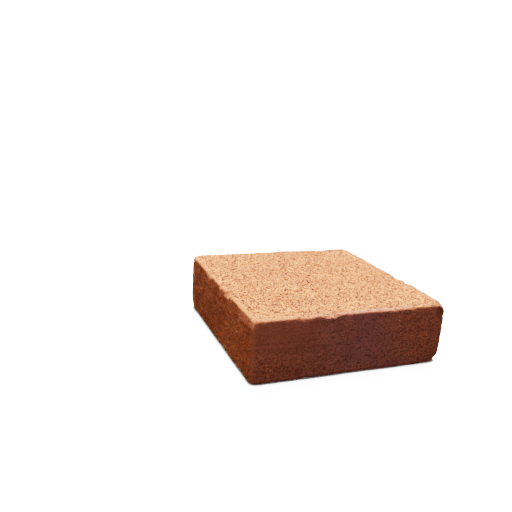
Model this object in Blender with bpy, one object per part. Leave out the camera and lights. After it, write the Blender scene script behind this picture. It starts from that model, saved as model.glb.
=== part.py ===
"""A square block of pressed coconut coir, lying on one of its two broad faces.

Pith and short husk fibres are pressed in a steel die, and the block swells a little when it leaves
the die. Its four sides slid along the die, so they are dense and carry faint level ledges. Its broad
faces met the plungers, so they are coarser. Handling has worn the edges, rounded the corners and
broken crumbs away.

Metres, +Z up. The block rests on z = 0, centred on the Z axis. Its near side faces -Y.
"""

import math
import random
from typing import NamedTuple

import bmesh
import bpy
from mathutils import Matrix, Vector, kdtree, noise

# The pressed block
SIDE = 0.3010  # width of the die, before the sides swell
THICKNESS = 0.093
SIDE_SWELL = 0.0008  # how far the middle of each side stands proud of its edges
CROWN = 0.0006  # the same for the top

# Edge rounding: the block is dragged about on its lower edges, which wear most
TOP_EDGE_RADIUS = 0.0028
BOTTOM_EDGE_RADIUS = 0.0050
RADIUS_VARIATION = 0.0008
RADIUS_WAVE = 0.025  # distance along an edge over which its rounding changes

# Relief: height above or below the mean surface, and the distance over which it repeats
SWALE = 0.0007
SWALE_SIZE = 0.055
CLOD = 0.0007  # matted clods on the broad faces
CLOD_SIZE = 0.014
LEDGE = 0.0006  # level ledges on the sides
LEDGE_LENGTH = 0.080
LEDGE_RISE = 0.0065
DIE_POLISH = 0.35  # share of the clods' height that the die leaves on the sides

# Crumbs lost and crumbs left standing, placed at random: how many, and (least, most) sizes
TOP_PITS = 100
SIDE_PITS = 20  # on each side
BOTTOM_PITS = 60
TOP_LUMPS = 50
SIDE_LUMPS = 8  # on each side
MARK_RADIUS = (0.0045, 0.0080)
PIT_DEPTH = (0.0007, 0.0020)
BOTTOM_PIT_DEPTH = (0.0016, 0.0032)
LUMP_HEIGHT = (0.0005, 0.0012)
TOP_EDGE_BITES = 16  # on each edge of the top
BOTTOM_EDGE_BITES = 12
UPRIGHT_EDGE_BITES = 3
BITE_RADIUS = (0.0045, 0.0085)
BITE_DEPTH = (0.0003, 0.0010)
BARE_REST = 0.030  # no pits this near the middle of the underside
SEED = 7

# The mesh: squares across and up each face, closer together towards the edges, then thinned
SQUARES_ACROSS = 120
SQUARES_UP = 38
EDGE_CROWDING = 0.55
TRIANGLES = 9400
SHARPEST_FOLD = math.radians(75)  # facets that thinning folds more sharply are eased
RELAXING_PASSES = 12
SHARP_CREASE = math.radians(35)  # facets that meet more sharply are shaded apart

HALF = Vector((SIDE / 2, SIDE / 2, THICKNESS / 2))
LEFT, RIGHT = -HALF.x, HALF.x
NEAR, FAR = -HALF.y, HALF.y
BASE, TOP = -HALF.z, HALF.z


class Mark(NamedTuple):
    """A round patch of the surface, pushed in or out."""

    centre: Vector
    radius: float
    push: Vector


class WornCorner(NamedTuple):
    """A corner cut by a plane, and how far along each edge the plane meets it."""

    corner: Vector
    cut: Vector


# What the block's corners and edges have lost, seen from the near left above
WORN_CORNERS = (
    WornCorner(Vector((RIGHT, FAR, TOP)), Vector((0.010, 0.020, 0.010))),
    WornCorner(Vector((RIGHT, NEAR, BASE)), Vector((0.017, 0.014, 0.015))),
    WornCorner(Vector((LEFT, NEAR, BASE)), Vector((0.009, 0.011, 0.006))),
    WornCorner(Vector((RIGHT, NEAR, TOP)), Vector((0.0125, 0.019, 0.010))),
    WornCorner(Vector((LEFT, FAR, BASE)), Vector((0.015, 0.018, 0.014))),
    WornCorner(Vector((RIGHT, FAR, BASE)), Vector((0.013, 0.016, 0.020))),
    WornCorner(Vector((LEFT, FAR, TOP)), Vector((0.008, 0.007, 0.007))),
    WornCorner(Vector((LEFT, NEAR, TOP)), Vector((0.005, 0.005, 0.005))),
)
CUT_SOFTNESS = 0.0016  # how gradually a worn corner runs into the faces beside it
CUT_ROUGHNESS = 0.0010

NAMED_MARKS = (
    Mark(Vector((LEFT, -0.040, TOP)), 0.011, Vector((0.0030, 0, -0.0036))),
    Mark(Vector((LEFT, -0.056, TOP)), 0.007, Vector((0.0016, 0, -0.0018))),
    Mark(Vector((LEFT, -0.006, TOP)), 0.008, Vector((0.0016, 0, -0.0022))),
    Mark(Vector((LEFT, 0.048, TOP)), 0.009, Vector((0.0018, 0, -0.0020))),
    Mark(Vector((-0.036, NEAR, TOP)), 0.008, Vector((0, 0.0014, -0.0022))),
    Mark(Vector((-0.078, NEAR, TOP)), 0.007, Vector((0, 0.0008, -0.0012))),
    Mark(Vector((0.062, NEAR, TOP)), 0.010, Vector((0, 0.0008, -0.0008))),
    Mark(Vector((RIGHT, 0.030, TOP)), 0.009, Vector((-0.0028, 0, -0.0022))),
    Mark(Vector((RIGHT, -0.030, TOP)), 0.007, Vector((-0.0024, 0, -0.0020))),
    Mark(Vector((RIGHT, -0.055, TOP)), 0.008, Vector((-0.0024, 0, -0.0018))),
    Mark(Vector((-0.046, -0.105, TOP)), 0.005, Vector((0, 0, -0.0024))),
    Mark(Vector((0.002, -0.115, TOP)), 0.005, Vector((0, 0, -0.0022))),
)


def between(limits, rng):
    return rng.uniform(*limits)


def random_point(rng, fixed):
    """A point of the sharp box, at random except for the coordinates that fixed gives."""
    return Vector(
        rng.uniform(-half, half) if value is None else value for value, half in zip(fixed, HALF)
    )


def face_marks(rng, face, count, heights, direction):
    """Pits where direction is -1, lumps where it is 1, on the face whose one coordinate is set."""
    normal = Vector(0 if value is None else math.copysign(1, value) for value in face)
    for _ in range(count):
        height = between(heights, rng) * direction
        yield Mark(random_point(rng, face), between(MARK_RADIUS, rng), normal * height)


def edge_bites(rng, edge, count):
    """Crumbs lost from the edge whose two coordinates are set."""
    inwards = Vector(0 if value is None else -math.copysign(1, value) for value in edge)
    inwards.normalize()
    for _ in range(count):
        depth = between(BITE_DEPTH, rng)
        yield Mark(random_point(rng, edge), between(BITE_RADIUS, rng), inwards * depth)


def all_marks():
    """Every pit, lump and bite, the named ones first."""
    rng = random.Random(SEED)
    marks = list(NAMED_MARKS)
    marks += face_marks(rng, (None, None, TOP), TOP_PITS, PIT_DEPTH, -1)
    marks += face_marks(rng, (None, None, TOP), TOP_LUMPS, LUMP_HEIGHT, 1)
    for mark in face_marks(rng, (None, None, BASE), BOTTOM_PITS, BOTTOM_PIT_DEPTH, -1):
        if mark.centre.xy.length > BARE_REST:
            marks.append(mark)
    sides = [(x, None, None) for x in (LEFT, RIGHT)] + [(None, y, None) for y in (NEAR, FAR)]
    for side in sides:
        marks += face_marks(rng, side, SIDE_PITS, PIT_DEPTH, -1)
        marks += face_marks(rng, side, SIDE_LUMPS, LUMP_HEIGHT, 1)
    for z, count in ((TOP, TOP_EDGE_BITES), (BASE, BOTTOM_EDGE_BITES)):
        for x in (LEFT, RIGHT):
            marks += edge_bites(rng, (x, None, z), count)
        for y in (NEAR, FAR):
            marks += edge_bites(rng, (None, y, z), count)
    for x in (LEFT, RIGHT):
        for y in (NEAR, FAR):
            marks += edge_bites(rng, (x, y, None), UPRIGHT_EDGE_BITES)
    return marks


def mark_finder(marks):
    """A function that gives how far all the marks together push a point."""
    tree = kdtree.KDTree(len(marks))
    for index, mark in enumerate(marks):
        tree.insert(mark.centre, index)
    tree.balance()
    reach = max(mark.radius for mark in marks)

    def push_at(point):
        total = Vector()
        for _, index, distance in tree.find_range(point, reach):
            mark = marks[index]
            if distance < mark.radius:
                total += mark.push * (1 - (distance / mark.radius) ** 2) ** 2
        return total

    return push_at


def edge_radius(point):
    """The rounding near this point, larger towards the base and uneven along every edge."""
    height = (point.z - BASE) / THICKNESS
    radius = BOTTOM_EDGE_RADIUS + (TOP_EDGE_RADIUS - BOTTOM_EDGE_RADIUS) * height
    return radius + RADIUS_VARIATION * noise.noise(point / RADIUS_WAVE)


def rounded(point):
    """The point of the sharp box moved to the rounded one, with the direction that is outwards there."""
    radius = edge_radius(point)
    core = Vector(
        max(radius - half, min(half - radius, value)) for value, half in zip(point, HALF)
    )
    outwards = (point - core).normalized()
    return core + outwards * radius, outwards


def swelling(point):
    """The block relaxes outwards on leaving the die, most at the middle of each side and of the top."""
    x, y, z = (value / half for value, half in zip(point, HALF))
    bulge = SIDE_SWELL * (1 - z * z)
    crown = CROWN * (1 - x * x) * (1 - y * y) if z > 0 else 0
    return Vector((bulge * x, bulge * y, crown * z))


def relief(point, outwards):
    """Height of the surface above its mean: swales all over, clods on broad faces, ledges on sides."""
    broad = outwards.z**2
    height = SWALE * noise.noise(point / SWALE_SIZE)
    clods = CLOD * noise.noise(point / CLOD_SIZE)
    height += clods * (DIE_POLISH + (1 - DIE_POLISH) * broad)
    level = Vector((point.x / LEDGE_LENGTH, point.y / LEDGE_LENGTH, point.z / LEDGE_RISE))
    return height + LEDGE * noise.noise(level) * (1 - broad)


def worn(point):
    """The point drawn back onto the rough plane of any worn corner that it stands beyond."""
    for corner, cut in WORN_CORNERS:
        slope = Vector(math.copysign(1 / length, value) for value, length in zip(corner, cut))
        normal = slope.normalized()
        beyond = (point - corner).dot(normal) + 1 / slope.length
        beyond += CUT_ROUGHNESS * noise.noise(point / CLOD_SIZE)
        point = point - normal * (beyond + math.hypot(beyond, CUT_SOFTNESS)) / 2
    return point


def block_grid():
    """A closed unit cube of small quads, with its faces outwards."""
    grid = bmesh.new()
    lift = Matrix.Translation((0, 0, 0.5))
    upright = Matrix.Rotation(math.radians(90), 4, "X")
    for turn in range(4):
        place = Matrix.Rotation(math.radians(90 * turn), 4, "Z") @ upright @ lift
        bmesh.ops.create_grid(
            grid, x_segments=SQUARES_ACROSS, y_segments=SQUARES_UP, size=0.5, matrix=place
        )
    for turn in (0, 180):
        place = Matrix.Rotation(math.radians(turn), 4, "X") @ lift
        bmesh.ops.create_grid(
            grid, x_segments=SQUARES_ACROSS, y_segments=SQUARES_ACROSS, size=0.5, matrix=place
        )
    bmesh.ops.remove_doubles(grid, verts=grid.verts, dist=1e-5)
    bmesh.ops.recalc_face_normals(grid, faces=grid.faces)
    return grid


def crowded(fraction):
    """A place from -0.5 to 0.5 moved towards the nearer end, so that squares are small there."""
    return fraction + EDGE_CROWDING * math.sin(math.tau * fraction) / math.tau


def shape_block(grid):
    """The unit cube's points moved onto the worn block."""
    push_at = mark_finder(all_marks())
    for vertex in grid.verts:
        sharp = Vector(2 * half * crowded(value) for value, half in zip(vertex.co, HALF))
        point, outwards = rounded(sharp)
        point += swelling(point) + outwards * relief(point, outwards) + push_at(sharp)
        vertex.co = worn(point)


def seat(grid):
    """The block centred and set down on z = 0, its underside pressed flat except for its pits."""
    underside = BASE + SWALE
    for vertex in grid.verts:
        vertex.co.z = max(vertex.co.z, underside)
    widths = [vertex.co.x for vertex in grid.verts]
    depths = [vertex.co.y for vertex in grid.verts]
    middle = Vector((min(widths) + max(widths), min(depths) + max(depths), 2 * underside)) / 2
    bmesh.ops.translate(grid, verts=grid.verts, vec=-middle)


def pressed_coir():
    material = bpy.data.materials.new("Pressed coir pith")
    material.use_nodes = True
    shader = material.node_tree.nodes["Principled BSDF"]
    shader.inputs["Base Color"].default_value = (0.38, 0.105, 0.044, 1)
    shader.inputs["Roughness"].default_value = 0.95
    shader.inputs["Metallic"].default_value = 0
    return material


def thin_out(block):
    """Fewer, larger facets where the surface is plain."""
    modifier = block.modifiers.new("Thin", "DECIMATE")
    modifier.ratio = TRIANGLES / len(block.data.polygons)
    graph = bpy.context.evaluated_depsgraph_get()
    block.data = bpy.data.meshes.new_from_object(block.evaluated_get(graph))
    block.modifiers.remove(modifier)


def relax_folds(mesh):
    """Eases the few facets that thinning folded onto each other, keeping the underside at z = 0."""
    facets = bmesh.new()
    facets.from_mesh(mesh)
    for _ in range(RELAXING_PASSES):
        folded = [
            vertex
            for vertex in facets.verts
            if any(edge.calc_face_angle() > SHARPEST_FOLD for edge in vertex.link_edges)
        ]
        bmesh.ops.smooth_vert(
            facets, verts=folded, factor=0.5, use_axis_x=True, use_axis_y=True, use_axis_z=True
        )
    for vertex in facets.verts:
        vertex.co.z = max(vertex.co.z, 0)
    facets.to_mesh(mesh)
    facets.free()


def make_coir_block():
    grid = block_grid()
    shape_block(grid)
    seat(grid)
    bmesh.ops.triangulate(grid, faces=grid.faces)
    mesh = bpy.data.meshes.new("coir_block")
    grid.to_mesh(mesh)
    grid.free()
    block = bpy.data.objects.new("coir_block", mesh)
    bpy.context.scene.collection.objects.link(block)
    thin_out(block)
    relax_folds(block.data)
    block.data.shade_smooth()
    block.data.set_sharp_from_angle(angle=SHARP_CREASE)
    block.data.materials.append(pressed_coir())


for leftover in list(bpy.data.objects):
    bpy.data.objects.remove(leftover)
make_coir_block()
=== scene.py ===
"""The looks of a square block of pressed coconut coir, lying on one of its broad faces.

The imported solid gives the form. Over it go a granular skin, the pith crumbs that stand out of it and the
husk fibres that were pressed flat with them. Sizes are in metres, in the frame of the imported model.
"""

import math

import bmesh
import bpy
from mathutils import Matrix, Vector


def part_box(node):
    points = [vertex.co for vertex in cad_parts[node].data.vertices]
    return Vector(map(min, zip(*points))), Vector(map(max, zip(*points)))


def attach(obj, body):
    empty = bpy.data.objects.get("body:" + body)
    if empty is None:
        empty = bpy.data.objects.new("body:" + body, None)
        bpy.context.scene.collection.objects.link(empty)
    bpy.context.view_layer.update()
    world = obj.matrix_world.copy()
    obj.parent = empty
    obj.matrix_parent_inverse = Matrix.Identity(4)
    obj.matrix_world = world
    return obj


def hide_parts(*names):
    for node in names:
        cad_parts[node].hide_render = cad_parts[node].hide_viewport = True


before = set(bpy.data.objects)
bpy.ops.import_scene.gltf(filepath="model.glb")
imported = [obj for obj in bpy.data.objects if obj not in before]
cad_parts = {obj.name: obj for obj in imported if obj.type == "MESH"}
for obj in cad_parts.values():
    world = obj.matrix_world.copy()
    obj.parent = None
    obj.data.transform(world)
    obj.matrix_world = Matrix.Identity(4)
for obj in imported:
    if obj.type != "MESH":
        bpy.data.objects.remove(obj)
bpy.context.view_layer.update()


def srgb(text):
    """A hex colour as linear red, green, blue and full alpha."""
    parts = [int(text[place : place + 2], 16) / 255 for place in (1, 3, 5)]
    return (*(c / 12.92 if c <= 0.04045 else ((c + 0.055) / 1.055) ** 2.4 for c in parts), 1)


MM = 0.001
LOW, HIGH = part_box("coir_block")
MIDDLE = (LOW + HIGH) / 2
HALF = (HIGH - LOW) / 2

# Faces and edges
FACE_BLEND = 2 * MM  # to each side of where a broad face passes into a side
EDGE_REACH = 7 * MM  # how far from an edge its wear and the painted highlight on it begin
EDGE_CORE = 1 * MM  # and how near to it they are full

# The skin
SKIN_STEP = 1.55 * MM  # size of a square of the skin
FACET_SMOOTHING = 3  # passes that hide the solid's facets
FLAT_BASE = 0.1 * MM  # what lies lower than this is the flat underside
SKIN_SHARE = 0.75  # what is left of the skin's triangles once its flat base is thinned
WELD = 0.01 * MM  # corners of the solid nearer than this are one
RELIEF = {
    "Grain size": 3.4 * MM,
    "Grain height": 1.5 * MM,
    "Side share": 0.2,  # the sides slid along the die, so little of the relief is left on them
    "Edge share": 0.3,  # and the edges are rubbed
    "Wrinkle height": 1.2 * MM,
    "Pit spacing": 10 * MM,
    "Pit depth": 0.8 * MM,
    "Rise": 0.8 * MM,  # how far the skin stands out of the solid
    "Base lift": 0.35 * MM,  # how far its base lies above the ground, among crumbs that reach it
}
PRESSED_FLAT = (1, 1, 2.2)  # grains are flattened in the direction of pressing
GRAIN_FOOT, GRAIN_CREST = 0.85, 0.1  # how far from its middle a grain ends and is highest, in grain sizes
WRINKLE_STRETCH = (0.3, 1, 1.6)
WRINKLE_SPACING = 4.5 * MM
PIT_RIM, PIT_FLOOR = 0.3, 0.08  # how far from its middle a pit ends and is deepest, in pit spacings
BASE_TILT, SIDE_TILT = -0.95, -0.6  # heights of the normal between which the base turns into a side

# The crumbs: a tilt is the height of a face's normal, from 1 on the top to -1 on the base
CRUMB_SEED = 11
CRUMBS_TRIED = 400000.0  # to a square metre, before those that lie too close are dropped
CRUMB_POWER = 2.0  # the higher, the fewer crumbs are large
CRUMB_LENGTH = 1.9  # of the longest, in widths
LUMP_SPACING = 1.6 * MM  # between the knocks that put a crumb out of round
LUMP_DEPTH = 1.5 * MM
CRUMB_SIZES = (
    "Tilt", "Tilt range", "Spacing", "Least radius", "Most radius", "Flatness", "Sink", "Level", "Edge share",
)
CRUMB_REGIONS = {
    "top_crumbs": (1.0, 0.4, 2.6 * MM, 0.8 * MM, 2.1 * MM, 0.95, 0.2, 0.0, 0.35),
    "side_crumbs": (0.0, 0.6, 2.9 * MM, 0.6 * MM, 1.5 * MM, 0.35, 0.6, 2.5, 0.35),
    "base_crumbs": (-1.0, 0.4, 2.7 * MM, 0.8 * MM, 1.8 * MM, 0.3, 0.3, 0.0, 0.45),
}

# The fibres
FIBRE_SEED = 23
FIBRE_POINTS = 11
FIBRE_WAVE = 14 * MM  # distance over which a fibre bends
FIBRE_SWAY = 16 * MM  # and how far it bends
FIBRE_UNLIKENESS = 50.0  # steps in the noise from a fibre to the next, so that each bends its own way
FIBRE_POWER = 1.8  # the higher, the fewer fibres are long
TAPER_LENGTH, TAPER_END = 0.15, 0.35  # share of its length in which a fibre thins, and to what share
LOOSE_SHARE = 0.07  # of the fibres have a loose end
LOOSE_POWER = 5.0  # the higher, the nearer to its end such a fibre leaves the block
FIBRES = {
    "Tilt": 0.0,
    "Tilt range": 1.1,
    "Density": 4500,  # to a square metre
    "Least length": 6 * MM,
    "Most length": 28 * MM,
    "Thickness": 0.28 * MM,
    "Rise": 0.3 * MM,  # how far a fibre lies above the skin, among the crumbs
    "Level": 2.0,
    "Loose end": 2.5 * MM,
}

# The tones and the sizes of what makes them: a share of 1 is all of a colour, a tone of 1 leaves it as it is
NOISE_SPAN = {"From Min": 0.3, "From Max": 0.7}  # nearly all that a noise gives
PITH_BROWNS = ((0.3, "#774029"), (0.5, "#A85637"), (0.68, "#CA6D47"))
CRUMB_BROWNS = (
    (0.0, "#45291E"),
    (0.06, "#623A28"),
    (0.12, "#944B30"),
    (0.5, "#AE5A3A"),
    (1.0, "#E27C4F"),
)
FIBRE_BROWNS = ((0.0, "#6E3524"), (0.5, "#985135"), (1.0, "#B46C45"))
# painted shade in the skin's hollows: its colour, its strongest share and the depth at which it is full
HOLLOW_SHADE, HOLLOW_SHADE_SHARE, HOLLOW_SHADE_DEPTH = srgb("#47291D"), 0.7, 0.9 * MM
GRAIN_TONE_SIZE = 2.6 * MM
ROUGHNESS_SIZE = 0.9 * MM
PORE_SIZE = 0.8 * MM
PORE_TONES = {"To Min": 0.8, "To Max": 1.15}
BUMP_DEPTH = 0.4 * MM
NEAR_DEPTH, NEAR_FADE = 3 * MM, 9 * MM  # how far in the near side's own tones are full, and end
BLOOM, BLOOM_SIZE = srgb("#98594F"), 60 * MM
BLOOM_NOISE = {"From Min": 0.38, "From Max": 0.58}
BLOOM_SHARES = {"To Min": 0.4, "To Max": 0.75}
BLOOM_CORE, BLOOM_REACH = 20 * MM, 125 * MM  # from the middle of the near side
BLOOM_AT_ENDS = 0.15
SMEAR, SMEAR_SHARE = srgb("#A2573D"), 0.6
SMEAR_START, SMEAR_FULL = -20 * MM, -90 * MM  # along the near side, to the left
SMEAR_FOOT, SMEAR_TOP = 25 * MM, 60 * MM  # heights between which the smear sets in
# dark specks: partly bits of husk, partly painted shade of shadowed pits
SPECK, SPECK_SIZE = srgb("#0E1810"), 2.5 * MM
SPECK_NOISE = {"From Min": 0.45, "From Max": 0.37}  # where in the noise a speck begins and is full
SPECKS_ON_SIDES, SPECKS_ON_EDGES, SPECKS_IN_SMEAR = 0.45, 0.3, 0.25
CLOUD_SIZE = 38 * MM
CLOUD_TONES = {"To Min": 0.88, "To Max": 1.1}
LEVEL_STRETCH = (0.04, 0.04, 1)  # draws the streaks out level
STREAK_RISE = 4 * MM
STREAK_TONES = {"To Min": 0.92, "To Max": 1.08}
LOW_SHADE_HEIGHT = 65 * MM  # painted shade: the sides grow darker from here down to the ground
# tones of the painted shade at the ground, at the ground of the near side, and of the sides higher up
LOW_SHADE_TONE, NEAR_LOW_SHADE_TONE, UPPER_SIDE_TONE = 0.95, 0.86, 1.04
FOOT_START, FOOT_HEIGHT, FOOT_SHADE = 1 * MM, 6 * MM, 0.12  # painted contact shadow along the foot of the sides
# paler edges: partly rubbed pith, partly a painted highlight where the rounded edges catch the light
WORN_EDGE_AND_HIGHLIGHT, WORN_EDGE_AND_HIGHLIGHT_SHARE = srgb("#B4603F"), 0.4
KNOCKED, KNOCKED_SHARE = srgb("#653526"), 0.85
KNOCKED_CORNER = Vector((HIGH.x, LOW.y, HIGH.z))
KNOCK_CORE, KNOCK_REACH = 13 * MM, 26 * MM

# The stage and its light
STAGE_RADIUS = 9.0
STAGE_SEGMENTS = 96
STAGE_WHITE = (0.9, 0.9, 0.9, 1)
FLOOR_GLOW = 12.0
WALL_GLOW = 16.0
CONTACT_REACH = 8 * MM  # how far the shade goes on the ground next to the block
CONTACT_SKY = {"From Min": 0.5, "From Max": 0.95}  # shares of open sky where it is full and where it ends
KEY_LIGHT = 36.0
LEFT_LIGHT = 0.72
FRONT_LIGHT = 0.53
ROOM_LIGHT = 0.2
ROOM_COLOUR = (1, 0.9, 0.72, 1)
HORIZON_BLEND = 0.1  # height of a direction at which the room's light is full
LIGHT_FROM_BELOW = 0.35  # share of the room's light that reaches the block from below

# The photograph's viewpoint
CAMERA_PLACE = Vector((-0.4116, -0.7893, 0.3816))
CAMERA_TURN = math.radians(21.93)  # to the right of +Y
CAMERA_DIP = math.radians(16.27)
CAMERA_ROLL = math.radians(3.68)
CAMERA_LENS, CAMERA_SENSOR = 40.8, 36  # mm


def add(tree, kind, inputs=(), tones=(), **settings):
    """Adds a node with its settings and any tones of its colour ramp.

    Each input is set, or linked where its value is a node or a socket.
    """
    node = tree.nodes.new(kind)
    for name, value in settings.items():
        setattr(node, name, value)
    for key, value in dict(inputs).items():
        named = [socket for socket in node.inputs if socket.name == key and socket.enabled]
        socket = named[0] if named else node.inputs[key]
        if isinstance(value, bpy.types.Node):
            value = next(output for output in value.outputs if output.enabled)
        if isinstance(value, bpy.types.NodeSocket):
            tree.links.new(value, socket)
        else:
            socket.default_value = value
    for number, (place, colour) in enumerate(tones):
        stops = node.color_ramp.elements
        stop = stops[number] if number < 2 else stops.new(place)
        stop.position = place
        stop.color = srgb(colour)
    return node


def where_on_block(tree, position):
    """Nodes for how far a place belongs to a broad face rather than a side, and how near it is to an edge."""
    from_middle = add(tree, "ShaderNodeVectorMath", {0: position, 1: MIDDLE}, operation="SUBTRACT")
    reach = add(tree, "ShaderNodeVectorMath", {0: from_middle}, operation="ABSOLUTE")
    inside = add(tree, "ShaderNodeVectorMath", {0: HALF, 1: reach}, operation="SUBTRACT")
    depth = add(tree, "ShaderNodeSeparateXYZ", {0: inside})
    side = add(tree, "ShaderNodeMath", {0: depth.outputs[0], 1: depth.outputs[1]}, operation="MINIMUM")
    far_side = add(tree, "ShaderNodeMath", {0: depth.outputs[0], 1: depth.outputs[1]}, operation="MAXIMUM")
    difference = add(tree, "ShaderNodeMath", {0: side, 1: depth.outputs[2]}, operation="SUBTRACT")
    broad = add(
        tree, "ShaderNodeMapRange", {"Value": difference, "From Min": -FACE_BLEND, "From Max": FACE_BLEND}
    )
    second = add(tree, "ShaderNodeMath", {0: far_side, 1: depth.outputs[2]}, operation="MINIMUM")
    to_edge = add(tree, "ShaderNodeMath", {0: side, 1: second}, operation="MAXIMUM")
    edge = add(
        tree,
        "ShaderNodeMapRange",
        {"Value": to_edge, "From Min": EDGE_REACH, "From Max": EDGE_CORE},
        interpolation_type="SMOOTHSTEP",
    )
    return broad, edge


def new_shape_tree(name, sizes):
    """A geometry tree with a geometry in, a geometry out and one named number for each size."""
    tree = bpy.data.node_groups.new(name, "GeometryNodeTree")
    tree.interface.new_socket("Geometry", in_out="INPUT", socket_type="NodeSocketGeometry")
    tree.interface.new_socket("Geometry", in_out="OUTPUT", socket_type="NodeSocketGeometry")
    for size in sizes:
        tree.interface.new_socket(size, in_out="INPUT", socket_type="NodeSocketFloat")
    return tree, add(tree, "NodeGroupInput").outputs


def grown(name, carrier, tree, sizes):
    """A new object with the plain mesh that the tree makes from the carrier's mesh."""
    grower = bpy.data.objects.new(name + "_grower", carrier.data)
    bpy.context.scene.collection.objects.link(grower)
    modifier = grower.modifiers.new("Grow", "NODES")
    modifier.node_group = tree
    for socket in tree.interface.items_tree:
        if socket.in_out == "INPUT" and socket.name in sizes:
            modifier[socket.identifier] = float(sizes[socket.name])
    graph = bpy.context.evaluated_depsgraph_get()
    mesh = bpy.data.meshes.new_from_object(grower.evaluated_get(graph))
    bpy.data.objects.remove(grower)
    mesh.name = name
    piece = bpy.data.objects.new(name, mesh)
    bpy.context.scene.collection.objects.link(piece)
    return piece


def even_skin():
    """The solid's surface as even small squares, its facets smoothed and its flat underside left whole."""
    mesh = bmesh.new()
    mesh.from_mesh(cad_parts["coir_block"].data)
    bmesh.ops.remove_doubles(mesh, verts=mesh.verts, dist=WELD)
    plain = bpy.data.meshes.new("even_skin")
    mesh.to_mesh(plain)
    mesh.free()
    skin = bpy.data.objects.new("even_skin", plain)
    bpy.context.scene.collection.objects.link(skin)
    squares = skin.modifiers.new("Even squares", "REMESH")
    squares.mode = "VOXEL"
    squares.voxel_size = SKIN_STEP
    smoothing = skin.modifiers.new("Hide facets", "SMOOTH")
    smoothing.factor = 0.5
    smoothing.iterations = FACET_SMOOTHING
    graph = bpy.context.evaluated_depsgraph_get()
    skin.data = bpy.data.meshes.new_from_object(skin.evaluated_get(graph))
    skin.modifiers.clear()
    flat = [vertex for vertex in skin.data.vertices if vertex.co.z < LOW.z + FLAT_BASE]
    for vertex in flat:
        vertex.co.z = LOW.z
    base = skin.vertex_groups.new(name="flat base")
    base.add([vertex.index for vertex in flat], 1.0, "REPLACE")
    thinning = skin.modifiers.new("Thin the flat base", "DECIMATE")
    thinning.vertex_group = base.name
    thinning.ratio = SKIN_SHARE
    graph = bpy.context.evaluated_depsgraph_get()
    skin.data = bpy.data.meshes.new_from_object(skin.evaluated_get(graph))
    skin.modifiers.clear()
    skin.vertex_groups.clear()
    skin.data.shade_smooth()
    return skin


def grain_relief_tree(material):
    """Pushes the skin in and out: pressed grains, lost crumbs and the wrinkles between them."""
    tree, given = new_shape_tree("Grain relief", RELIEF)
    position = add(tree, "GeometryNodeInputPosition")
    normal = add(tree, "GeometryNodeInputNormal")

    broad, edge = where_on_block(tree, position)
    by_face = add(tree, "ShaderNodeMapRange", {"Value": broad, "To Min": given["Side share"], "To Max": 1})
    worn_down = add(tree, "ShaderNodeMapRange", {"Value": edge, "To Min": 1, "To Max": given["Edge share"]})
    share = add(tree, "ShaderNodeMath", {0: by_face, 1: worn_down}, operation="MULTIPLY")

    flattened = add(tree, "ShaderNodeVectorMath", {0: position, 1: PRESSED_FLAT}, operation="MULTIPLY")
    fineness = add(tree, "ShaderNodeMath", {0: 1.0, 1: given["Grain size"]}, operation="DIVIDE")
    cells = add(tree, "ShaderNodeTexVoronoi", {"Vector": flattened, "Scale": fineness})
    grains = add(
        tree,
        "ShaderNodeMapRange",
        {"Value": cells, "From Min": GRAIN_FOOT, "From Max": GRAIN_CREST, "To Min": -0.5, "To Max": 0.5},
    )
    grain = add(tree, "ShaderNodeMath", {0: grains, 1: given["Grain height"]}, operation="MULTIPLY")

    stretched = add(tree, "ShaderNodeVectorMath", {0: position, 1: WRINKLE_STRETCH}, operation="MULTIPLY")
    folds = add(tree, "ShaderNodeTexNoise", {"Vector": stretched, "Scale": 1 / WRINKLE_SPACING, "Detail": 2})
    centred = add(tree, "ShaderNodeMath", {0: folds, 1: 0.5}, operation="SUBTRACT")
    wrinkle = add(tree, "ShaderNodeMath", {0: centred, 1: given["Wrinkle height"]}, operation="MULTIPLY")

    rarity = add(tree, "ShaderNodeMath", {0: 1.0, 1: given["Pit spacing"]}, operation="DIVIDE")
    holes = add(tree, "ShaderNodeTexVoronoi", {"Vector": position, "Scale": rarity})
    hollow = add(
        tree,
        "ShaderNodeMapRange",
        {"Value": holes, "From Min": PIT_RIM, "From Max": PIT_FLOOR},
        interpolation_type="SMOOTHSTEP",
    )
    pit = add(tree, "ShaderNodeMath", {0: hollow, 1: given["Pit depth"]}, operation="MULTIPLY")

    raised = add(tree, "ShaderNodeMath", {0: grain, 1: wrinkle}, operation="ADD")
    pitted = add(tree, "ShaderNodeMath", {0: raised, 1: pit}, operation="SUBTRACT")
    height = add(tree, "ShaderNodeMath", {0: pitted, 1: share}, operation="MULTIPLY")
    facing = add(tree, "ShaderNodeSeparateXYZ", {0: normal})
    off_base = add(
        tree,
        "ShaderNodeMapRange",
        {"Value": facing.outputs[2], "From Min": BASE_TILT, "From Max": SIDE_TILT},
    )
    eased = add(tree, "ShaderNodeMath", {0: height, 1: off_base}, operation="MULTIPLY")
    sunk = add(tree, "ShaderNodeMath", {0: given["Base lift"], 1: -1.0}, operation="MULTIPLY")
    level = add(tree, "ShaderNodeMapRange", {"Value": off_base, "To Min": sunk, "To Max": given["Rise"]})
    total = add(tree, "ShaderNodeMath", {0: eased, 1: level}, operation="ADD")
    offset = add(tree, "ShaderNodeVectorMath", {0: normal, "Scale": total}, operation="SCALE")
    moved = add(tree, "GeometryNodeSetPosition", {"Geometry": given["Geometry"], "Offset": offset})
    stored = add(
        tree,
        "GeometryNodeStoreNamedAttribute",
        {"Geometry": moved, "Name": "height", "Value": eased},
        data_type="FLOAT",
        domain="POINT",
    )
    finished = add(tree, "GeometryNodeSetMaterial", {"Geometry": stored, "Material": material})
    add(tree, "NodeGroupOutput", {"Geometry": finished})
    return tree


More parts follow.
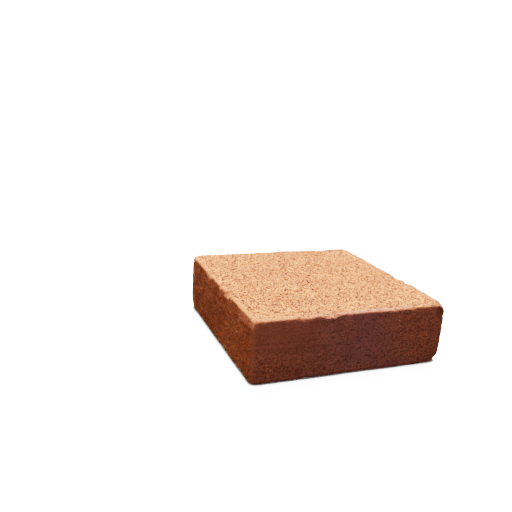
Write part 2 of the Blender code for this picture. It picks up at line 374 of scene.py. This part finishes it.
def lying_rotation(tree, normal, seed, level):
    """Nodes for a rotation that lays +Z along the normal and turns +X at random, or level on a side."""
    along = add(tree, "ShaderNodeVectorMath", {0: normal, 1: (0, 0, 1)}, operation="CROSS_PRODUCT")
    steady = add(tree, "ShaderNodeVectorMath", {0: along, "Scale": level}, operation="SCALE")
    wild = add(
        tree,
        "FunctionNodeRandomValue",
        {"Min": (-1, -1, -1), "Max": (1, 1, 1), "Seed": seed},
        data_type="FLOAT_VECTOR",
    )
    direction = add(tree, "ShaderNodeVectorMath", {0: steady, 1: wild}, operation="ADD")
    laid = add(tree, "FunctionNodeAlignRotationToVector", {"Vector": normal}, axis="Z")
    return add(
        tree,
        "FunctionNodeAlignRotationToVector",
        {"Rotation": laid, "Vector": direction},
        axis="X",
        pivot_axis="Z",
    )


def chosen_faces(tree, normal, given):
    """Nodes for which faces take a scatter: those whose normal's height is near the tilt asked for."""
    facing = add(tree, "ShaderNodeSeparateXYZ", {0: normal})
    heights = {0: facing.outputs[2], 1: given["Tilt"], 2: given["Tilt range"]}
    return add(tree, "ShaderNodeMath", heights, operation="COMPARE")


def above_ground(tree, geometry, lowest):
    """Nodes that lift what would reach below the lowest height allowed to it."""
    position = add(tree, "GeometryNodeInputPosition")
    lifted = add(tree, "ShaderNodeVectorMath", {0: position, 1: (-1, -1, lowest)}, operation="MAXIMUM")
    return add(tree, "GeometryNodeSetPosition", {"Geometry": geometry, "Position": lifted})


def with_own_shade(tree, instances, seed):
    """Nodes that give each scattered piece a shade of its own and make it real mesh or curve."""
    shade = add(
        tree, "FunctionNodeRandomValue", {"Min": 0.0, "Max": 1.0, "Seed": seed}, data_type="FLOAT"
    )
    tinted = add(
        tree,
        "GeometryNodeStoreNamedAttribute",
        {"Geometry": instances, "Name": "shade", "Value": shade},
        data_type="FLOAT",
        domain="INSTANCE",
    )
    return add(tree, "GeometryNodeRealizeInstances", {"Geometry": tinted})


def crumb_tree(material):
    """Scatters half-sunk crumbs of pith, each a lump of 20 faces knocked out of round."""
    tree, given = new_shape_tree("Pith crumbs", CRUMB_SIZES)
    normal = add(tree, "GeometryNodeInputNormal")
    position = add(tree, "GeometryNodeInputPosition")
    points = add(
        tree,
        "GeometryNodeDistributePointsOnFaces",
        {
            "Mesh": given["Geometry"],
            "Selection": chosen_faces(tree, normal, given),
            "Distance Min": given["Spacing"],
            "Density Max": CRUMBS_TRIED,
            "Seed": CRUMB_SEED,
        },
        distribute_method="POISSON",
    )
    surface = points.outputs["Normal"]

    chance = add(
        tree, "FunctionNodeRandomValue", {"Min": 0.0, "Max": 1.0, "Seed": 1}, data_type="FLOAT"
    )
    mostly_small = add(tree, "ShaderNodeMath", {0: chance, 1: CRUMB_POWER}, operation="POWER")
    free_radius = add(
        tree,
        "ShaderNodeMapRange",
        {"Value": mostly_small, "To Min": given["Least radius"], "To Max": given["Most radius"]},
    )
    _, edge = where_on_block(tree, position)
    worn_down = add(tree, "ShaderNodeMapRange", {"Value": edge, "To Min": 1, "To Max": given["Edge share"]})
    radius = add(tree, "ShaderNodeMath", {0: free_radius, 1: worn_down}, operation="MULTIPLY")
    longer = add(
        tree, "FunctionNodeRandomValue", {"Min": 1.0, "Max": CRUMB_LENGTH, "Seed": 2}, data_type="FLOAT"
    )
    length = add(tree, "ShaderNodeMath", {0: radius, 1: longer}, operation="MULTIPLY")
    thickness = add(tree, "ShaderNodeMath", {0: radius, 1: given["Flatness"]}, operation="MULTIPLY")
    size = add(tree, "ShaderNodeCombineXYZ", {0: length, 1: radius, 2: thickness})

    buried = add(tree, "ShaderNodeMath", {0: thickness, 1: given["Sink"]}, operation="MULTIPLY")
    inwards = add(tree, "ShaderNodeMath", {0: buried, 1: -1.0}, operation="MULTIPLY")
    sinking = add(tree, "ShaderNodeVectorMath", {0: surface, "Scale": inwards}, operation="SCALE")
    placed = add(
        tree, "GeometryNodeSetPosition", {"Geometry": points.outputs["Points"], "Offset": sinking}
    )
    lump = add(tree, "GeometryNodeMeshIcoSphere", {"Radius": 1.0, "Subdivisions": 1})
    crumbs = add(
        tree,
        "GeometryNodeInstanceOnPoints",
        {
            "Points": placed,
            "Instance": lump,
            "Rotation": lying_rotation(tree, surface, seed=3, level=given["Level"]),
            "Scale": size,
        },
    )
    real = with_own_shade(tree, crumbs, seed=4)

    knocks = add(tree, "ShaderNodeTexNoise", {"Vector": position, "Scale": 1 / LUMP_SPACING, "Detail": 1})
    centred = add(
        tree,
        "ShaderNodeVectorMath",
        {0: knocks.outputs["Color"], 1: (0.5, 0.5, 0.5)},
        operation="SUBTRACT",
    )
    push = add(tree, "ShaderNodeVectorMath", {0: centred, "Scale": LUMP_DEPTH}, operation="SCALE")
    ragged = add(tree, "GeometryNodeSetPosition", {"Geometry": real, "Offset": push})
    settled = above_ground(tree, ragged, LOW.z)
    smooth = add(tree, "GeometryNodeSetShadeSmooth", {"Geometry": settled, "Shade Smooth": True})
    finished = add(tree, "GeometryNodeSetMaterial", {"Geometry": smooth, "Material": material})
    add(tree, "NodeGroupOutput", {"Geometry": finished})
    return tree


def fibre_tree(material):
    """Lays short husk fibres over the block, each following the surface and thinning at its ends."""
    tree, given = new_shape_tree("Husk fibres", FIBRES)
    normal = add(tree, "GeometryNodeInputNormal")
    position = add(tree, "GeometryNodeInputPosition")
    points = add(
        tree,
        "GeometryNodeDistributePointsOnFaces",
        {
            "Mesh": given["Geometry"],
            "Selection": chosen_faces(tree, normal, given),
            "Density": given["Density"],
            "Seed": FIBRE_SEED,
        },
        distribute_method="RANDOM",
    )
    line = add(tree, "GeometryNodeCurvePrimitiveLine", {"Start": (-0.5, 0, 0), "End": (0.5, 0, 0)})
    divided = add(tree, "GeometryNodeResampleCurve", {"Curve": line, "Count": FIBRE_POINTS})
    chance = add(
        tree, "FunctionNodeRandomValue", {"Min": 0.0, "Max": 1.0, "Seed": 5}, data_type="FLOAT"
    )
    mostly_short = add(tree, "ShaderNodeMath", {0: chance, 1: FIBRE_POWER}, operation="POWER")
    length = add(
        tree,
        "ShaderNodeMapRange",
        {"Value": mostly_short, "To Min": given["Least length"], "To Max": given["Most length"]},
    )
    size = add(tree, "ShaderNodeCombineXYZ", {0: length, 1: 1.0, 2: 1.0})
    fibres = add(
        tree,
        "GeometryNodeInstanceOnPoints",
        {
            "Points": points.outputs["Points"],
            "Instance": divided,
            "Rotation": lying_rotation(tree, points.outputs["Normal"], seed=6, level=given["Level"]),
            "Scale": size,
        },
    )
    real = with_own_shade(tree, fibres, seed=7)

    own_shade = add(tree, "GeometryNodeInputNamedAttribute", {"Name": "shade"}, data_type="FLOAT")
    own_noise = add(tree, "ShaderNodeMath", {0: own_shade, 1: FIBRE_UNLIKENESS}, operation="MULTIPLY")
    waves = add(
        tree,
        "ShaderNodeTexNoise",
        {"Vector": position, "W": own_noise, "Scale": 1 / FIBRE_WAVE, "Detail": 1.0},
        noise_dimensions="4D",
    )
    centred = add(
        tree,
        "ShaderNodeVectorMath",
        {0: waves.outputs["Color"], 1: (0.5, 0.5, 0.5)},
        operation="SUBTRACT",
    )
    sway = add(tree, "ShaderNodeVectorMath", {0: centred, "Scale": FIBRE_SWAY}, operation="SCALE")
    swayed = add(tree, "GeometryNodeSetPosition", {"Geometry": real, "Offset": sway})

    nearest = add(
        tree, "GeometryNodeProximity", {"Geometry": given["Geometry"]}, target_element="FACES"
    )
    outwards = add(
        tree,
        "GeometryNodeSampleNearestSurface",
        {"Mesh": given["Geometry"], "Value": normal},
        data_type="FLOAT_VECTOR",
    )
    along = add(tree, "GeometryNodeSplineParameter").outputs["Factor"]
    end = add(tree, "ShaderNodeMath", {0: along, 1: LOOSE_POWER}, operation="POWER")
    loose = add(tree, "ShaderNodeMath", {0: own_shade, 1: 1 - LOOSE_SHARE}, operation="GREATER_THAN")
    loose_end = add(tree, "ShaderNodeMath", {0: end, 1: loose}, operation="MULTIPLY")
    lift = add(
        tree,
        "ShaderNodeMath",
        {0: loose_end, 1: given["Loose end"], 2: given["Rise"]},
        operation="MULTIPLY_ADD",
    )
    away = add(tree, "ShaderNodeVectorMath", {0: outwards, "Scale": lift}, operation="SCALE")
    draped = add(
        tree,
        "GeometryNodeSetPosition",
        {"Geometry": swayed, "Position": nearest.outputs["Position"], "Offset": away},
    )
    settled = above_ground(tree, draped, LOW.z + FIBRES["Thickness"])
    evened = add(tree, "GeometryNodeResampleCurve", {"Curve": settled, "Count": FIBRE_POINTS})

    from_end = add(tree, "ShaderNodeMath", {0: 1.0, 1: along}, operation="SUBTRACT")
    nearer_end = add(tree, "ShaderNodeMath", {0: from_end, 1: along}, operation="MINIMUM")
    taper = add(
        tree,
        "ShaderNodeMapRange",
        {"Value": nearer_end, "From Max": TAPER_LENGTH, "To Min": TAPER_END, "To Max": 1.0},
    )
    half_thick = add(tree, "ShaderNodeMath", {0: given["Thickness"], 1: 0.5}, operation="MULTIPLY")
    radius = add(tree, "ShaderNodeMath", {0: taper, 1: half_thick}, operation="MULTIPLY")
    section = add(tree, "GeometryNodeCurvePrimitiveCircle", {"Resolution": 4, "Radius": 1.0})
    strands = add(
        tree,
        "GeometryNodeCurveToMesh",
        {"Curve": evened, "Profile Curve": section, "Scale": radius, "Fill Caps": True},
    )
    smooth = add(tree, "GeometryNodeSetShadeSmooth", {"Geometry": strands, "Shade Smooth": True})
    finished = add(tree, "GeometryNodeSetMaterial", {"Geometry": smooth, "Material": material})
    add(tree, "NodeGroupOutput", {"Geometry": finished})
    return tree


def new_material(name, roughness, gloss):
    """A material, its tree, its shader and the place on the block that its patterns read."""
    material = bpy.data.materials.new(name)
    material.use_nodes = True
    tree = material.node_tree
    shader = tree.nodes["Principled BSDF"]
    shader.inputs["Roughness"].default_value = roughness
    shader.inputs["Specular IOR Level"].default_value = gloss
    return material, tree, shader, add(tree, "ShaderNodeTexCoord").outputs["Object"]


def shared_tones(tree, place, colour):
    """Tones that run through skin and crumbs alike, from the near side's bloom to the knocked corner, with
    painted shade and painted highlights among them.
    """
    broad, edge = where_on_block(tree, place)
    along = add(tree, "ShaderNodeSeparateXYZ", {0: place}).outputs

    # a dry, purplish bloom on the near side, strongest about its middle
    patches = add(tree, "ShaderNodeTexNoise", {"Vector": place, "Scale": 1 / BLOOM_SIZE, "Detail": 1.0})
    patch = add(tree, "ShaderNodeMapRange", {"Value": patches, **BLOOM_NOISE, **BLOOM_SHARES})
    off_middle = add(tree, "ShaderNodeMath", {0: along[0]}, operation="ABSOLUTE")
    central = add(
        tree,
        "ShaderNodeMapRange",
        {
            "Value": off_middle,
            "From Min": BLOOM_CORE,
            "From Max": BLOOM_REACH,
            "To Min": 1.0,
            "To Max": BLOOM_AT_ENDS,
        },
        interpolation_type="SMOOTHSTEP",
    )
    near_side = add(
        tree,
        "ShaderNodeMapRange",
        {"Value": along[1], "From Min": LOW.y + NEAR_FADE, "From Max": LOW.y + NEAR_DEPTH},
    )
    bloom = add(tree, "ShaderNodeMath", {0: patch, 1: central}, operation="MULTIPLY")
    near_bloom = add(tree, "ShaderNodeMath", {0: bloom, 1: near_side}, operation="MULTIPLY")
    bloomed = add(tree, "ShaderNodeMix", {"Factor": near_bloom, "A": colour, "B": BLOOM}, data_type="RGBA")

    # its upper left was smeared smooth by the die
    by_side = add(
        tree, "ShaderNodeMapRange", {"Value": along[0], "From Min": SMEAR_START, "From Max": SMEAR_FULL}
    )
    by_height = add(
        tree, "ShaderNodeMapRange", {"Value": along[2], "From Min": SMEAR_FOOT, "From Max": SMEAR_TOP}
    )
    upper_left = add(tree, "ShaderNodeMath", {0: by_side, 1: by_height}, operation="MULTIPLY")
    smear = add(tree, "ShaderNodeMath", {0: upper_left, 1: near_side}, operation="MULTIPLY")
    cover = add(tree, "ShaderNodeMath", {0: smear, 1: SMEAR_SHARE}, operation="MULTIPLY")
    smeared = add(tree, "ShaderNodeMix", {"Factor": cover, "A": bloomed, "B": SMEAR}, data_type="RGBA")

    # dark specks, partly bits of husk and partly painted shade of shadowed pits: real ones are about 1 mm and
    # would blur away from a step off, so these are 2.5 mm
    spots = add(tree, "ShaderNodeTexNoise", {"Vector": place, "Scale": 1 / SPECK_SIZE, "Detail": 1.0})
    speck = add(tree, "ShaderNodeMapRange", {"Value": spots, **SPECK_NOISE})
    by_face = add(tree, "ShaderNodeMapRange", {"Value": broad, "To Min": SPECKS_ON_SIDES, "To Max": 1})
    by_edge = add(tree, "ShaderNodeMapRange", {"Value": edge, "To Min": 1, "To Max": SPECKS_ON_EDGES})
    by_smear = add(tree, "ShaderNodeMapRange", {"Value": smear, "To Min": 1, "To Max": SPECKS_IN_SMEAR})
    face_specks = add(tree, "ShaderNodeMath", {0: speck, 1: by_face}, operation="MULTIPLY")
    open_specks = add(tree, "ShaderNodeMath", {0: face_specks, 1: by_edge}, operation="MULTIPLY")
    specks = add(tree, "ShaderNodeMath", {0: open_specks, 1: by_smear}, operation="MULTIPLY")
    specked = add(tree, "ShaderNodeMix", {"Factor": specks, "A": smeared, "B": SPECK}, data_type="RGBA")

    # broad clouds, and on the sides the level streaks of each charge of pith, with painted shade growing
    # darker towards the ground, on the near side most
    mottle = add(tree, "ShaderNodeTexNoise", {"Vector": place, "Scale": 1 / CLOUD_SIZE, "Detail": 3.0})
    cloud = add(tree, "ShaderNodeMapRange", {"Value": mottle, **NOISE_SPAN, **CLOUD_TONES})
    layers = add(tree, "ShaderNodeVectorMath", {0: place, 1: LEVEL_STRETCH}, operation="MULTIPLY")
    streaks = add(tree, "ShaderNodeTexNoise", {"Vector": layers, "Scale": 1 / STREAK_RISE, "Detail": 3.0})
    streak = add(tree, "ShaderNodeMapRange", {"Value": streaks, **NOISE_SPAN, **STREAK_TONES})
    # painted shade on the sides, darker towards the ground and most on the near side
    ground_shade_tone = add(
        tree, "ShaderNodeMapRange", {"Value": near_side, "To Min": LOW_SHADE_TONE, "To Max": NEAR_LOW_SHADE_TONE}
    )
    low_shade = add(
        tree,
        "ShaderNodeMapRange",
        {
            "Value": along[2],
            "From Min": LOW.z,
            "From Max": LOW.z + LOW_SHADE_HEIGHT,
            "To Min": ground_shade_tone,
            "To Max": UPPER_SIDE_TONE,
        },
    )
    # painted contact shadow along the foot of the sides
    foot_shadow = add(
        tree,
        "ShaderNodeMapRange",
        {
            "Value": along[2],
            "From Min": LOW.z + FOOT_START,
            "From Max": LOW.z + FOOT_HEIGHT,
            "To Min": FOOT_SHADE,
        },
    )
    with_foot_shadow = add(tree, "ShaderNodeMath", {0: low_shade, 1: foot_shadow}, operation="MULTIPLY")
    side_tone = add(tree, "ShaderNodeMath", {0: streak, 1: with_foot_shadow}, operation="MULTIPLY")
    face_tone = add(tree, "ShaderNodeMix", {"Factor": broad, "A": side_tone, "B": 1.0}, data_type="FLOAT")
    tone = add(tree, "ShaderNodeMath", {0: cloud, 1: face_tone}, operation="MULTIPLY")
    shaded = add(tree, "ShaderNodeVectorMath", {0: specked, "Scale": tone}, operation="SCALE")

    # rubbed edges show paler pith, partly a painted highlight where they catch the light, and a knock has
    # darkened one upper corner
    edge_wear_and_highlight = add(tree, "ShaderNodeMath", {0: edge, 1: WORN_EDGE_AND_HIGHLIGHT_SHARE}, operation="MULTIPLY")
    wear_and_highlight = add(tree, "ShaderNodeMath", {0: edge_wear_and_highlight, 1: foot_shadow}, operation="MULTIPLY")
    worn_and_highlit = add(tree, "ShaderNodeMix", {"Factor": wear_and_highlight, "A": shaded, "B": WORN_EDGE_AND_HIGHLIGHT}, data_type="RGBA")
    from_knock = add(tree, "ShaderNodeVectorMath", {0: place, 1: KNOCKED_CORNER}, operation="DISTANCE")
    knock = add(
        tree,
        "ShaderNodeMapRange",
        {
            "Value": from_knock,
            "From Min": KNOCK_REACH,
            "From Max": KNOCK_CORE,
            "To Max": KNOCKED_SHARE,
        },
        interpolation_type="SMOOTHSTEP",
    )
    knocked = add(tree, "ShaderNodeMix", {"Factor": knock, "A": worn_and_highlit, "B": KNOCKED}, data_type="RGBA")
    return knocked.outputs[2]


def pressed_pith():
    """Pith pressed in a die: quite matt and reddish brown, with painted shade darkening the hollows of its
    skin.
    """
    material, tree, shader, place = new_material("pressed coir pith", roughness=0.95, gloss=0.05)
    flattened = add(tree, "ShaderNodeVectorMath", {0: place, 1: PRESSED_FLAT}, operation="MULTIPLY")
    grains = add(
        tree, "ShaderNodeTexNoise", {"Vector": flattened, "Scale": 1 / GRAIN_TONE_SIZE, "Detail": 4.0}
    )
    tone = add(tree, "ShaderNodeValToRGB", {0: grains}, PITH_BROWNS)
    height = add(tree, "ShaderNodeAttribute", attribute_name="height").outputs["Fac"]
    # painted shade, darker the deeper the skin lies in a hollow
    in_hollow_shade = add(
        tree, "ShaderNodeMapRange", {"Value": height, "From Max": -HOLLOW_SHADE_DEPTH, "To Max": HOLLOW_SHADE_SHARE}
    )
    with_hollow_shade = add(tree, "ShaderNodeMix", {"Factor": in_hollow_shade, "A": tone, "B": HOLLOW_SHADE}, data_type="RGBA")
    tree.links.new(shared_tones(tree, place, with_hollow_shade), shader.inputs["Base Color"])
    rough = add(tree, "ShaderNodeTexNoise", {"Vector": flattened, "Scale": 1 / ROUGHNESS_SIZE, "Detail": 3.0})
    bump = add(tree, "ShaderNodeBump", {"Height": rough, "Distance": BUMP_DEPTH, "Strength": 0.7})
    tree.links.new(bump.outputs[0], shader.inputs["Normal"])
    return material


def loose_pith():
    """Crumbs of pith: matt sponge, each its own brown, a few nearly black from the husk's skin."""
    material, tree, shader, place = new_material("coir pith crumbs", roughness=0.95, gloss=0.05)
    shade = add(tree, "ShaderNodeAttribute", attribute_name="shade").outputs["Fac"]
    tone = add(tree, "ShaderNodeValToRGB", {0: shade}, CRUMB_BROWNS)
    pores = add(tree, "ShaderNodeTexNoise", {"Vector": place, "Scale": 1 / PORE_SIZE, "Detail": 3.0})
    pored = add(tree, "ShaderNodeMapRange", {"Value": pores, **NOISE_SPAN, **PORE_TONES})
    spongy = add(tree, "ShaderNodeVectorMath", {0: tone, "Scale": pored}, operation="SCALE")
    tree.links.new(shared_tones(tree, place, spongy), shader.inputs["Base Color"])
    bump = add(tree, "ShaderNodeBump", {"Height": pores, "Distance": BUMP_DEPTH, "Strength": 0.6})
    tree.links.new(bump.outputs[0], shader.inputs["Normal"])
    return material


def husk_fibre():
    """Coir fibre: wiry, golden tan to red brown, with a faint shine along it."""
    material, tree, shader, _ = new_material("coir husk fibre", roughness=0.8, gloss=0.1)
    shade = add(tree, "ShaderNodeAttribute", attribute_name="shade").outputs["Fac"]
    tone = add(tree, "ShaderNodeValToRGB", {0: shade}, FIBRE_BROWNS)
    tree.links.new(tone.outputs[0], shader.inputs["Base Color"])
    return material


def dress_block():
    """The skin, the crumbs and the fibres, all riding on the block's only body."""
    pith, crumb, fibre = pressed_pith(), loose_pith(), husk_fibre()
    even = even_skin()
    skin = grown("pressed_skin", even, grain_relief_tree(pith), RELIEF)
    bpy.data.objects.remove(even)
    pieces = [skin]
    crumbs = crumb_tree(crumb)
    for name, sizes in CRUMB_REGIONS.items():
        pieces.append(grown(name, skin, crumbs, dict(zip(CRUMB_SIZES, sizes))))
    pieces.append(grown("husk_fibres", skin, fibre_tree(fibre), FIBRES))
    for piece in pieces:
        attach(piece, "root")
    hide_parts("coir_block")


def stage_material(name, colour, glow):
    """A plain matt white that also glows a little, so that it comes out as the photograph's white."""
    material = bpy.data.materials.new(name)
    material.use_nodes = True
    shader = material.node_tree.nodes["Principled BSDF"]
    shader.inputs["Base Color"].default_value = colour
    shader.inputs["Roughness"].default_value = 1
    shader.inputs["Specular IOR Level"].default_value = 0
    shader.inputs["Emission Color"].default_value = (1, 1, 1, 1)
    shader.inputs["Emission Strength"].default_value = glow
    return material


def finish_floor(material):
    """Lets the floor's glow die away where something stands on it, a painted contact shadow, and clears its
    lower face.
    """
    tree = material.node_tree
    shader = tree.nodes["Principled BSDF"]
    below = add(tree, "ShaderNodeNewGeometry").outputs["Backfacing"]
    clear = add(tree, "ShaderNodeBsdfTransparent")
    upper_only = add(tree, "ShaderNodeMixShader", {0: below, 1: shader, 2: clear})
    tree.links.new(upper_only.outputs[0], tree.nodes["Material Output"].inputs["Surface"])
    # painted contact shadow: the glow fades where little open sky is left
    open_sky = add(tree, "ShaderNodeAmbientOcclusion", {"Distance": CONTACT_REACH}, samples=16)
    glow = add(
        tree,
        "ShaderNodeMapRange",
        {"Value": open_sky.outputs["AO"], **CONTACT_SKY, "To Max": FLOOR_GLOW},
    )
    tree.links.new(glow.outputs[0], shader.inputs["Emission Strength"])


def add_stage():
    """A pale floor and a round white wall, so that the ground is as plain from every side."""
    round_floor = bmesh.new()
    bmesh.ops.create_circle(
        round_floor, cap_ends=True, radius=STAGE_RADIUS, segments=STAGE_SEGMENTS
    )
    wall = bmesh.new()
    bmesh.ops.create_cone(
        wall,
        segments=STAGE_SEGMENTS,
        radius1=STAGE_RADIUS,
        radius2=STAGE_RADIUS,
        depth=2 * STAGE_RADIUS,
    )
    for name, mesh, colour, strength in (
        ("floor", round_floor, STAGE_WHITE, FLOOR_GLOW),
        ("wall", wall, (0, 0, 0, 1), WALL_GLOW),
    ):
        data = bpy.data.meshes.new(name)
        mesh.to_mesh(data)
        mesh.free()
        data.materials.append(stage_material("matt white " + name, colour, strength))
        if name == "floor":
            finish_floor(data.materials[0])
        screen = bpy.data.objects.new(name, data)
        bpy.context.scene.collection.objects.link(screen)
        screen.visible_diffuse = False
        screen.visible_glossy = False
        screen.visible_shadow = False


def add_light():
    """One broad lamp straight above, weak cards at the left and in front, and dim light from all round."""
    for name, energy, width, colour, turn in (
        ("overhead softbox", KEY_LIGHT, 18, (1, 0.97, 0.96), (-18, 5)),
        ("warm card at the left", LEFT_LIGHT, 60, (1, 0.86, 0.5), (0, -62)),
        ("cool card in front", FRONT_LIGHT, 60, (0.9, 1.05, 1.5), (72, 0)),
    ):
        lamp = bpy.data.lights.new(name, "SUN")
        lamp.energy = energy
        lamp.angle = math.radians(width)
        lamp.color = colour
        lamp_object = bpy.data.objects.new(name, lamp)
        lamp_object.rotation_euler = (math.radians(turn[0]), math.radians(turn[1]), 0)
        bpy.context.scene.collection.objects.link(lamp_object)
    world = bpy.data.worlds.new("dim room")
    world.use_nodes = True
    tree = world.node_tree
    direction = add(tree, "ShaderNodeTexCoord").outputs["Generated"]
    height = add(tree, "ShaderNodeSeparateXYZ", {0: direction}).outputs[2]
    light = add(
        tree,
        "ShaderNodeMapRange",
        {
            "Value": height,
            "From Min": -HORIZON_BLEND,
            "From Max": HORIZON_BLEND,
            "To Min": ROOM_LIGHT * LIGHT_FROM_BELOW,
            "To Max": ROOM_LIGHT,
        },
    )
    background = tree.nodes["Background"]
    background.inputs["Color"].default_value = ROOM_COLOUR
    tree.links.new(light.outputs[0], background.inputs["Strength"])
    bpy.context.scene.world = world
    bpy.context.scene.view_settings.view_transform = "Filmic"


def add_camera():
    """The photograph's camera, which looks down on the block's near left corner."""
    camera = bpy.data.objects.new("camera", bpy.data.cameras.new("camera"))
    camera.data.lens = CAMERA_LENS
    camera.data.sensor_width = CAMERA_SENSOR
    turn = Matrix.Rotation(-CAMERA_TURN, 4, "Z")
    dip = Matrix.Rotation(math.radians(90) - CAMERA_DIP, 4, "X")
    roll = Matrix.Rotation(CAMERA_ROLL, 4, "Z")
    camera.matrix_world = Matrix.Translation(CAMERA_PLACE) @ turn @ dip @ roll
    bpy.context.scene.collection.objects.link(camera)
    bpy.context.scene.camera = camera


dress_block()
add_stage()
add_light()
add_camera()
